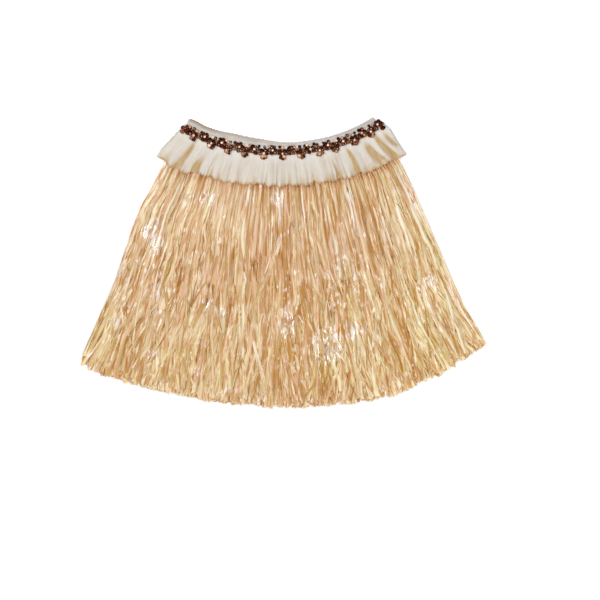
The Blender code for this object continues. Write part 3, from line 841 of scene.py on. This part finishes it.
def make_flounce(material):
    """The ruffle. Each row blends the rows of FLOUNCE. A pleat is half a sine over four fifths of
    its width and flat over the rest, leans to one side, and carries fine wrinkles. The foot is
    ragged, drawn up between the pleats, and hangs to its own depth on each. Where straw shows
    through, the cloth lies lower and ends a little sooner. The back hangs in low waves."""
    rng = np.random.default_rng(11)
    edges_f = pleat_edges(PLEATS, 0.3, rng)
    edges_b = pleat_edges(BACK_WAVES, 0.2, rng)
    depth = rng.uniform(0.4, 1.0, PLEATS)
    lean = rng.uniform(-0.35, 0.35, PLEATS)
    hang = rng.uniform(-1.0, 1.0, PLEATS)
    share_f = np.linspace(-1, 1, 25 * PLEATS)
    share_b = np.linspace(-1, 1, 170)
    number, across = in_pleats(share_f, edges_f)
    hump = np.sin(math.pi * np.clip(across / 0.8, 0, 1))
    wave_b = np.sin(math.pi * in_pleats(share_b, edges_b)[1]) ** 2
    inner = 1 - np.abs(share_f) ** 12  # the waves die out at the folds
    down = np.concatenate([[0.0, 0.006], np.linspace(0.03, 0.97, 26), [0.994, 1.0]])
    shows = straw_showing(down, share_f * FLOUNCE_REACH)
    steps = np.linspace(0, 1, len(FLOUNCE["radius_mm"]))
    rows = []
    for d, straw in zip(down, shows):
        row = {key: float(np.interp(d, steps, values)) for key, values in FLOUNCE.items()}
        deep, radius, rise = row["pleat_mm"] * MM, row["radius_mm"] * MM, row["rise_mm"] * MM
        free = deep / (FLOUNCE["pleat_mm"][-1] * MM)  # 0 in the gathers, 1 at the foot
        crest = hump**0.85 * depth[number] * (1 - 0.75 * straw)
        crimp = 0.45 * MM * (1 - free) * np.sin(63 * across + 5 * number)
        wrinkles = 0.18 * MM * free * np.sin(9.5 * across * math.pi + 3 * number + 4 * d)
        wrinkles = wrinkles + 0.15 * MM * np.sin(140 * share_f + 9 * np.sin(3 * d + 7 * share_f))
        height_f = row["outside_front_mm"] * MM + (deep * crest + crimp + wrinkles) * inner
        drawn_up = 0.0016 * free**2 * (1 - crest) + 0.0032 * free**3 * hang[number] * hump
        ragged = 0.0012 * free**4 * np.sin(230 * share_f + 3 * np.sin(41 * share_f))
        shorter = (drawn_up + ragged + 0.004 * free**4 * straw) * inner
        longer = np.interp(share_f, FOOT_SHARE, FOOT_LONGER_MM) * MM * d**2
        radius_f = radius - rise * np.abs(share_f) ** 3 + longer - shorter
        shift = lean[number] * hump * np.diff(edges_f)[number] * free * 0.5 * inner
        front = (share_f + shift, radius_f, height_f)
        height_b = row["outside_back_mm"] * MM + 0.6 * MM * free * wave_b * (1 - share_b**12)
        back = (share_b, radius - rise * np.abs(share_b) ** 3, height_b)
        angle, more = math.radians(row["half_angle_deg"]), math.radians(row["right_more_deg"])
        rows.append(round_the_tube(front, back, angle, row["fold_mm"] * MM, more))
    points = np.array(rows)
    straw = np.zeros(points.shape[:2])
    straw[:, : len(share_f)] = shows + straw_between_pleats(down, share_f, hump)
    facts = cloth_facts(points, np.clip(straw, 0, 1))
    piece = tube_piece("flounce_cloth", points, facts, material, 0.0005)
    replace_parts(piece, "flounce")
    return piece


# The back of the waistband stands this much higher than its front at these shares
BACK_SHOWS_SHARE = (-1.0, -0.85, -0.7, -0.5, -0.2, 0.0, 0.1, 0.4, 0.8, 1.0)
BACK_SHOWS_MM = (10.0, 5.5, 6.5, 9.0, 6.5, 2.6, 1.5, 2.2, 3.6, 4.0)
BAND_WIDTH = 0.026


def gathers(share, d, turn):
    """Small uneven ripples of the band's cloth, which fade on the way down and at the folds."""
    inner = 1 - np.abs(share) ** 10
    small = np.sin(150 * share + 6 * np.sin(9 * share) + turn) * 0.42
    tiny = np.sin(420 * share + 11 * np.sin(5 * share)) * 0.2
    return (small + tiny) * inner * (1 - 0.8 * d) * MM


def make_waistband(material):
    """The casing: a flattened tube whose top edge ripples in small uneven gathers. Its back stands
    higher than its front and shows its turned edge, most on the left."""
    share_f = np.linspace(-1, 1, 520)
    share_b = np.linspace(-1, 1, 420)
    down = np.concatenate([[0.0, 0.01], np.linspace(0.04, 0.96, 12), [0.99, 1.0]])
    higher = smooth_step(share_b, -1.15, -0.85) * MM
    higher = higher * np.interp(share_b, BACK_SHOWS_SHARE, BACK_SHOWS_MM)
    rows = []
    for d in down:
        ripple_f, ripple_b = gathers(share_f, d, 0.0), gathers(share_b, d, 2.0)
        radius_f = WAIST_RADIUS + BAND_WIDTH * d - waist_rise(share_f) + ripple_f * (1 - d)
        radius_b = WAIST_RADIUS + BAND_WIDTH * d - waist_rise(share_b)
        radius_b = radius_b + (ripple_b - higher) * (1 - d)
        lip = 0.0006 * math.cos(math.pi * min(d * 6, 1))  # the front and back close at the top
        front = (share_f, radius_f, 0.0113 - 0.5 * np.abs(ripple_f) - lip)
        back = (share_b, radius_b, 0.0066 + 0.5 * np.abs(ripple_b) + lip)
        rows.append(round_the_tube(front, back, WAIST_HALF_ANGLE, 0.003))
    points = np.array(rows)
    left, far_left = smooth_step(-share_b, 0.0, 0.3), smooth_step(-share_b, 0.6, 0.8)
    turned_edge = np.zeros(points.shape[1])
    start = len(share_f) + FOLD_POINTS  # the back's points follow the front's and a fold's
    turned_edge[start : start + len(share_b)] = (0.1 + 0.5 * left + 0.4 * far_left)[::-1]
    facts = cloth_facts(points, turned_edge * np.exp(-((down / 0.14) ** 2))[:, None])
    piece = tube_piece("waistband_cloth", points, facts, material, 0.0009)
    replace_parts(piece, "waistband")
    return piece


TAPE_STEPS = 240
TAPE_ROUND = 24  # points round its section


def make_tape(name, low, high, node, material):
    """The narrow twill tape that the heads of the raffia are sewn along: a rounded flat box
    section carried along the waist's curve, closed at its ends."""
    share = np.linspace(-1, 1, TAPE_STEPS)[:, None]
    turn = np.linspace(0, 2 * math.pi, TAPE_ROUND, endpoint=False)
    cos, sin = np.cos(turn), np.sin(turn)
    middle = WAIST_RADIUS + (TAPE_TOP + TAPE_FOOT) / 2 - waist_rise(share)
    section_r = (TAPE_FOOT - TAPE_TOP) / 2 * np.sign(cos) * np.abs(cos) ** 0.35
    section_z = (high - low) / 2 * np.sign(sin) * np.abs(sin) ** 0.35
    closing = np.sqrt(np.clip(1 - np.abs(share) ** 200, 1e-4, 1))
    angle = share * math.radians(LEFT_HALF_ANGLE_DEG[0])
    points = at(angle, middle + section_r * closing, (low + high) / 2 + section_z * closing)
    facts = {"cloth": beside(angle * SEWN_RADIUS, section_r, 0.0)}
    walls = grid_quads(1, TAPE_STEPS, TAPE_ROUND, round_rows=True)
    i = np.arange(TAPE_ROUND // 2 - 1)
    cap = np.stack([i, i + 1, TAPE_ROUND - 2 - i, TAPE_ROUND - 1 - i], axis=-1)
    end = (cap + (TAPE_STEPS - 1) * TAPE_ROUND)[:, ::-1]
    quads = np.concatenate([walls, cap, end])[:, ::-1]
    piece = new_piece(name, points.reshape(-1, 3), quads, material, facts)
    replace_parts(piece, node)
    return piece


# ---------------------------------------------------------------- beads


def ball(steps):
    """A cube's six faces, each a grid pressed onto the unit sphere, with shared edges merged."""
    t = np.tan(np.linspace(-1, 1, steps + 1) * math.pi / 4)
    a, b = np.meshgrid(t, t, indexing="ij")
    one = np.ones_like(a)
    faces = [(a, b, one), (b, a, -one), (one, a, b), (-one, b, a), (b, one, a), (a, -one, b)]
    points = np.concatenate([np.stack(f, -1).reshape(-1, 3) for f in faces])
    points, index = np.unique(unit(points).round(6), axis=0, return_inverse=True)
    return points, index.reshape(-1)[grid_quads(6, steps + 1, steps + 1)]


def make_beads(name, centres, radii, squash, axes, shades, material):
    """Beads as small pressed spheres. axes holds each bead's turn about +Z, along its thread.
    Pale beads and a third of the dark ones are polished, and the others nearly matt."""
    sphere, quads = ball(3)
    x, y, z = (sphere * (1.0, 1.06, 1.0)).T
    cos, sin = np.cos(axes)[:, None], np.sin(axes)[:, None]
    x, y, z = x * cos - y * sin, x * sin + y * cos, z * squash[:, None]
    points = centres[:, None, :] + np.stack([x, y, z], -1) * radii[:, None, None]
    polished = (shades > 0.6) | (np.sin(7919.0 * shades) > 0.5)
    gloss = smooth_step(np.abs(sphere[:, 2]), 0.6, 0.95) * np.where(polished, 1, 0.04)[:, None]
    facts = {
        "bead": beside(shades[:, None], 1 - np.abs(sphere[:, 0]), -y),
        "polish": beside(gloss, 0.0, 0.0),
    }
    all_quads = (np.arange(len(centres))[:, None, None] * len(sphere) + quads).reshape(-1, 4)
    return new_piece(name, points.reshape(-1, 3), all_quads, material, facts)


def make_front_beads(material):
    """A row of small beads along the waist, part of them tan, and dark ones strewn below it. Over
    them lies a zigzag of flowers, which are rings of dark beads, amber at the foot, each round a
    small pale bead, and a few beads more hang under each of the lower flowers. The left and the
    middle hang a little lower than the right."""
    rng = np.random.default_rng(23)
    pick = rng.uniform
    count, strewn, flowers, petals = 40, 34, 23, 6
    angles, belows, heights, sizes, shades = [], [], [], [], []

    def lay(angle, below, height_mm, size_mm):
        """Beads at these angles, and so many metres below the band's top edge, whose heights and
        sizes are drawn from between two measures."""
        angles.append(angle)
        belows.append(below)
        heights.append(pick(*height_mm, len(angle)) * MM)
        sizes.append(pick(*size_mm, len(angle)) * MM)

    s = (np.arange(count) + pick(0.2, 0.8, count)) / count * 2 - 1
    below = 0.0049 + 0.0018 * np.abs(s) ** 6 + pick(-1.0, 1.0, count) * MM
    lay(s * WAIST_HALF_ANGLE, below, (17.2, 18.2), (2.2, 3.2))
    tan = pick(0, 1, count) < 0.45
    shades.append(np.where(tan, pick(0.66, 0.92, count), pick(0.0, 0.4, count)))

    s = (np.arange(strewn) + pick(0.1, 0.9, strewn)) / strewn * 2 - 1
    lay(s * WAIST_HALF_ANGLE, pick(10.0, 17.5, strewn) * MM, (16.8, 17.4), (2.2, 3.2))
    shades.append(pick(0.0, 0.66, strewn))

    s = (np.arange(flowers) + pick(0.3, 0.7, flowers)) / flowers * 2.08 - 1.03
    heart = s * WAIST_HALF_ANGLE
    zigzag = np.where(np.arange(flowers) % 2 == 0, -1.0, 1.0)
    zigzag[0] = -0.5  # the flower by the left fold lies nearer the zigzag's middle
    middle = 0.0137 + 0.0027 * zigzag + pick(-0.8, 0.8, flowers) * MM
    lay(heart, middle, (20.0, 20.8), (1.8, 2.5))
    shades.append(np.where(pick(0, 1, flowers) < 0.8, pick(0.95, 1.2, flowers), 0.2))
    for petal in range(petals):
        turn = 2 * math.pi * (petal + 0.5 + pick(-0.3, 0.3, flowers)) / petals
        reach = pick(4.6, 6.5, flowers) * MM
        aside = reach * np.sin(turn) / BEADS_RADIUS
        lay(heart + aside, middle + reach * np.cos(turn), (17.2, 18.6), (2.6, 3.9))
        amber = pick(0.3, 0.75, flowers) * np.clip(np.cos(turn), 0, 1) ** 2
        shades.append(0.45 * pick(0.0, 1.0, flowers) ** 2 + amber * (0.7 + 0.3 * zigzag))

    low = zigzag > 0
    for place_mm in (-3.6, 0.3, 3.6):
        aside_mm = place_mm + pick(-1.2, 1.2, low.sum())
        below = middle[low] + (pick(6.6, 8.6, low.sum()) - 0.12 * aside_mm**2) * MM
        lay(heart[low] + aside_mm * MM / BEADS_RADIUS, below, (16.8, 17.4), (2.3, 3.3))
        shades.append(pick(0.0, 0.7, low.sum()))

    angle, below, height, size, shade = map(np.concatenate, (angles, belows, heights, sizes, shades))
    share = angle / WAIST_HALF_ANGLE
    lower = (2.4 - 1.9 * smooth_step(share, 0.3, 0.95)) * MM
    radius = WAIST_RADIUS + below + lower - waist_rise(share)
    squash = pick(0.7, 0.85, len(size))
    centres = at(angle, radius, height + size * squash)
    axes = angle + rng.normal(0, 0.5, len(angle))
    return make_beads("beads_front", centres, size, squash, axes, shade, material)


def make_fold_beads(material):
    """Beads round the two side folds, on half an ellipse in each row."""
    rng = np.random.default_rng(29)
    turn = np.linspace(0.2, math.pi - 0.35, 4)
    centres, size = [], rng.uniform(3.4, 4.2, 16) * MM
    for side, lower, reach in ((-1, 0.0020, math.radians(21.4)), (1, 0.0, math.radians(22.0))):
        for below, ahead in ((0.0125, 0.0), (0.0195, 0.15)):
            t = turn + ahead
            radius = WAIST_RADIUS - WAIST_RISE + below + lower
            angle = side * (reach + 0.0040 * np.sin(t) / radius)
            centres.append(at(angle, radius, 0.0112 + 0.0078 * np.cos(t)))
    shades = rng.uniform(0.0, 0.6, 16)
    axes = rng.uniform(0, math.pi, 16)
    squash = np.full(16, 0.85)
    return make_beads("beads_folds", np.concatenate(centres), size, squash, axes, shades, material)


def make_back_beads(material):
    """The back's beads, in two staggered rows, pressed flat by the surface that the skirt lies
    on."""
    rng = np.random.default_rng(31)
    count = 44
    share = np.tile((np.arange(count) + 0.5) / count * 2 - 1, 2)
    share[count:] += 1.0 / count
    below = np.repeat((0.0080, 0.0148), count) + rng.uniform(-0.8, 0.8, 2 * count) * MM
    keep = np.abs(share) < 1.0
    share, below = share[keep], below[keep]
    angle = share * WAIST_HALF_ANGLE
    size = rng.uniform(3.0, 3.5, len(share)) * MM
    squash = np.full(len(share), 0.34)
    radius = WAIST_RADIUS + below - waist_rise(share)
    centres = at(angle, radius, size * squash + 0.0001)
    shades = rng.uniform(0.0, 0.8, len(share))
    return make_beads("beads_back", centres, size, squash, angle, shades, material)


CORD_RADIUS = 0.0007


def make_threads(material):
    """The golden cords that the beads are sewn to: three round tubes that weave along the waist,
    each a circle carried along a sine wave."""
    share = np.linspace(-1, 1, 900)
    turn = np.linspace(0, 2 * math.pi, 8, endpoint=False)
    angle = share * WAIST_HALF_ANGLE * 1.02
    thick = CORD_RADIUS * np.sqrt(np.clip(1 - np.abs(share) ** 300, 1e-3, 1))  # closed at the ends
    points = []
    for phase in (0.0, 2.1, 4.2):
        below = 0.0150 + 0.0045 * np.sin(120 * share + phase)
        radius = WAIST_RADIUS + below - waist_rise(share)
        line = at(angle, radius, 0.0192 + 0.0008 * np.cos(240 * share + phase))
        _, level, upward = directions(line)
        ring = level[:, None] * np.cos(turn)[:, None] + upward[:, None] * np.sin(turn)[:, None]
        points.append(line[:, None] + ring * thick[:, None, None])
    points = np.array(points)
    facts = {"cloth": beside((angle * SEWN_RADIUS)[:, None], turn * CORD_RADIUS, np.zeros((3, 1, 1)))}
    quads = grid_quads(3, len(share), len(turn), round_rows=True)[:, ::-1]
    return new_piece("bead_threads", points.reshape(-1, 3), quads, material, facts)


# ---------------------------------------------------------------- studio


LIGHTS = (  # name, place, width, watts
    ("overhead_softbox", (0.15, 0.0, 2.4), 1.5, 59.5),
    ("key_softbox", (-1.2, 0.7, 1.8), 0.26, 19.0),
    ("fill_softbox", (1.3, -0.8, 1.5), 1.0, 5.0),
)
SKY = 0.16
FLOOR_HALF = 6.0
FLOOR_DROP = 0.0006  # keeps the floor clear of the skirt's underside


def make_studio():
    """A pale floor, a faint white sky, a wide soft light overhead, a smaller key from the upper
    left and a fill from the lower right, all aimed at the skirt."""
    half, drop = FLOOR_HALF, FLOOR_DROP
    corners = [(-half, -half, -drop), (half, -half, -drop), (half, half, -drop), (-half, half, -drop)]
    mesh = bpy.data.meshes.new("floor")
    mesh.from_pydata(corners, [], [(0, 1, 2, 3)])
    mesh.materials.append(floor_finish())
    add_object("floor", mesh)

    world = bpy.data.worlds.new("studio")
    bpy.context.scene.world = world
    world.use_nodes = True
    sky = world.node_tree.nodes["Background"]
    sky.inputs["Color"].default_value = colour(1.0, 1.0, 1.0)
    sky.inputs["Strength"].default_value = SKY

    for name, place, width, watts in LIGHTS:
        light = bpy.data.lights.new(name, "AREA")
        light.shape, light.size, light.energy = "DISK", width, watts
        lamp = add_object(name, light)
        lamp.location = place
        lamp.rotation_euler = (-Vector(place)).to_track_quat("-Z", "Y").to_euler()


VIEW_SIDE = 1.023  # metres that the square view covers at SKIRT_TOP
FAN_POINT_IN_VIEW = (0.465, -0.19833)  # from the view's left and top edges, as shares of its side
MIDDLE_LINE_TILT = math.radians(0.55)  # the skirt's foot swings this much to the right
CAMERA_HEIGHT = 3.2
SKIRT_TOP = 0.016  # where the raffia mostly lies, at which the view's side is measured


def make_camera():
    """Straight down, placed so that the fan's point comes where FAN_POINT_IN_VIEW says."""
    right = (0.5 - FAN_POINT_IN_VIEW[0]) * VIEW_SIDE
    down = (0.5 - FAN_POINT_IN_VIEW[1]) * VIEW_SIDE
    cos, sin = math.cos(MIDDLE_LINE_TILT), math.sin(MIDDLE_LINE_TILT)
    x = FAN_POINT[0] + right * cos - down * sin
    y = FAN_POINT[1] - (right * sin + down * cos)
    data = bpy.data.cameras.new("camera")
    data.sensor_width = 36.0
    data.lens = data.sensor_width * (CAMERA_HEIGHT - SKIRT_TOP) / VIEW_SIDE
    data.clip_end = 50.0
    camera = add_object("camera", data)
    tilt = Matrix.Rotation(-MIDDLE_LINE_TILT, 4, "Z")
    camera.matrix_world = Matrix.Translation((x, y, CAMERA_HEIGHT)) @ tilt
    bpy.context.scene.camera = camera


# name, strips, seed, the share of the fringe's thickness that they fill, and how many run across
FRONT_LAYERS = (
    ("raffia_front_1", 420, 101, (0.0, 0.45), 0.03),
    ("raffia_front_2", 400, 102, (0.35, 0.75), 0.08),
    ("raffia_front_3", 330, 103, (0.65, 1.0), 0.12),
)
BACK_LAYERS = (
    ("raffia_back_1", 460, 201, (0.15, 0.6), 0.03),
    ("raffia_back_2", 460, 202, (0.5, 1.0), 0.03),
)
FRONT_STEPS = 48
BACK_STEPS = 28


def make_raffia():
    """The two fringes, in layers of film, of which the lower ones are painted deeper in colour, as
    shade for the light that reaches them through the film above.
    """
    top = raffia_finish("raffia_film", (1.0, 1.0, 1.0))
    middle = raffia_finish("raffia_film_middle", (0.99, 0.93, 0.80))
    deep = raffia_finish("raffia_film_deep", (0.98, 0.86, 0.64))
    for (name, count, seed, fill, crossing), film in zip(FRONT_LAYERS, (deep, middle, top)):
        piece = raffia_strips(name, count, FRONT_STEPS, seed, FRONT_HEIGHTS_MM, fill, crossing, film)
        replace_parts(piece, "front_grass")
    for name, count, seed, fill, crossing in BACK_LAYERS:
        piece = raffia_strips(name, count, BACK_STEPS, seed, BACK_HEIGHTS_MM, fill, crossing, middle)
        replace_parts(piece, "back_grass")


def make_skirt():
    make_waistband(band_finish())
    make_flounce(flounce_finish())
    tape = cord_finish("cotton_tape", (0.52, 0.42, 0.30), (0.78, 0.70, 0.58))
    make_tape("tape_front", 0.0122, 0.0138, "front_grass", tape)
    make_tape("tape_back", 0.0042, 0.0058, "back_grass", tape)
    make_raffia()
    beads = bead_finish()
    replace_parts(make_front_beads(beads), "bead_trim")
    make_fold_beads(beads)
    make_back_beads(beads)
    make_threads(cord_finish("golden_cord", (0.10, 0.035, 0.010), (0.42, 0.23, 0.09)))


bpy.context.scene.view_settings.view_transform = "Standard"
make_studio()
make_camera()
make_skirt()
